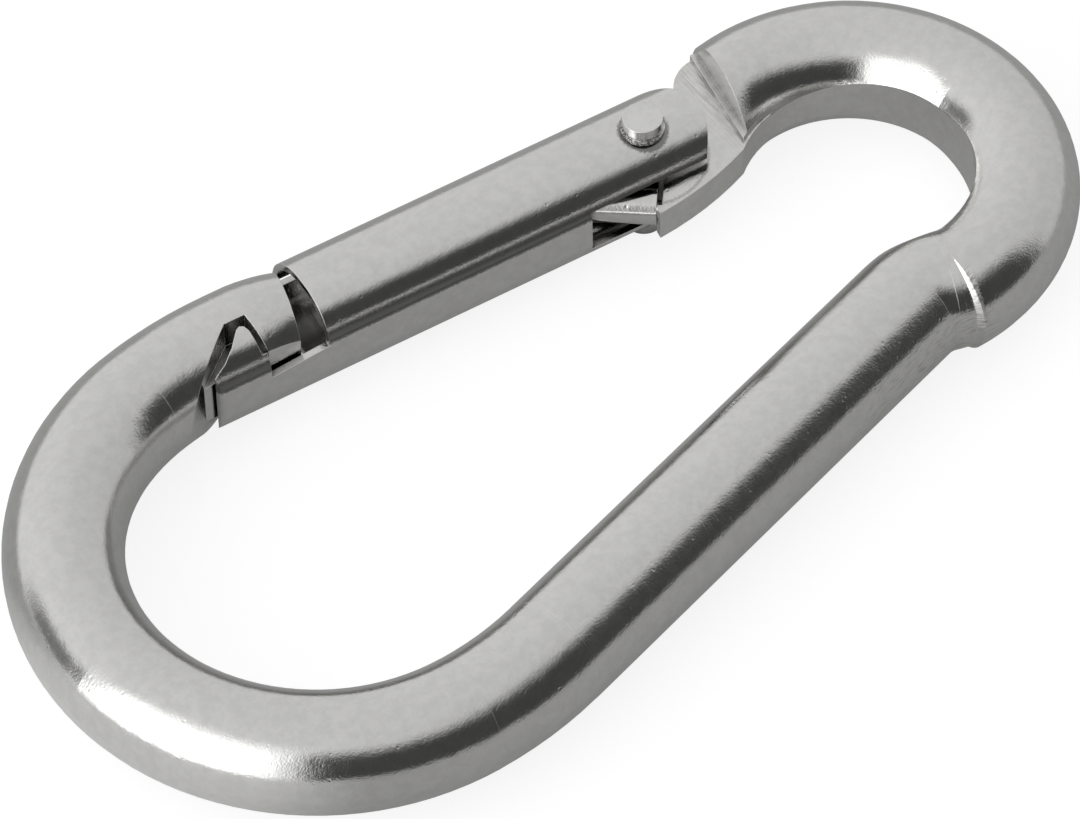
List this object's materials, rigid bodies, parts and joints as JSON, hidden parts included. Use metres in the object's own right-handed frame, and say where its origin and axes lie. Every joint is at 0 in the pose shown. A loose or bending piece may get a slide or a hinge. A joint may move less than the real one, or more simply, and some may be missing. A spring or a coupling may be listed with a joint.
{
  "type": "carabiner",
  "caption": "Pear-shaped spring snap hook bent from round steel bar, with a folded sheet gate that hinges inward on a rivet and springs shut against a hooked nose.",
  "frame": {"origin": "middle of the whole part in plan, at the level of its lowest point, the rivet's lower end", "axes": "+X from the large end to the small end, +Y towards the gate, +Z square to the plane of the bend"},
  "size_m": [0.082, 0.0418, 0.0104],
  "materials": {
    "hook_body": "bright zinc plate over bent bar",
    "gate": "bright zinc plate over folded sheet",
    "pivot_rivet": "plated, peened at both ends",
    "spring_plunger": "plated",
    "gate_spring": "spring wire"
  },
  "bodies": {
    "hook": {"hook_body": "hook_body"},
    "gate": {"gate": "gate", "pivot_rivet": "pivot_rivet", "gate_spring": "gate_spring"},
    "plunger": {"spring_plunger": "spring_plunger"}
  },
  "joints": [
    {"name": "gate_hinge", "type": "hinge", "parent": "hook", "child": "gate", "pos_m": [0.01632, 0.01042, 0.0052], "axis": [0, 0, 1], "range_deg": [0, 28], "stiffness_Nm_per_rad": 0.05, "springref_deg": -34.38},
    {"name": "plunger_slide", "type": "slide", "parent": "gate", "child": "plunger", "axis": [-0.8695, 0.4939, 0], "range_m": [0, 0.0024], "deforming": ["gate_spring"]}
  ],
  "couplings": [
    {"joint": "plunger_slide", "follows": "gate_hinge", "m_per_rad": 0.00472}
  ]
}
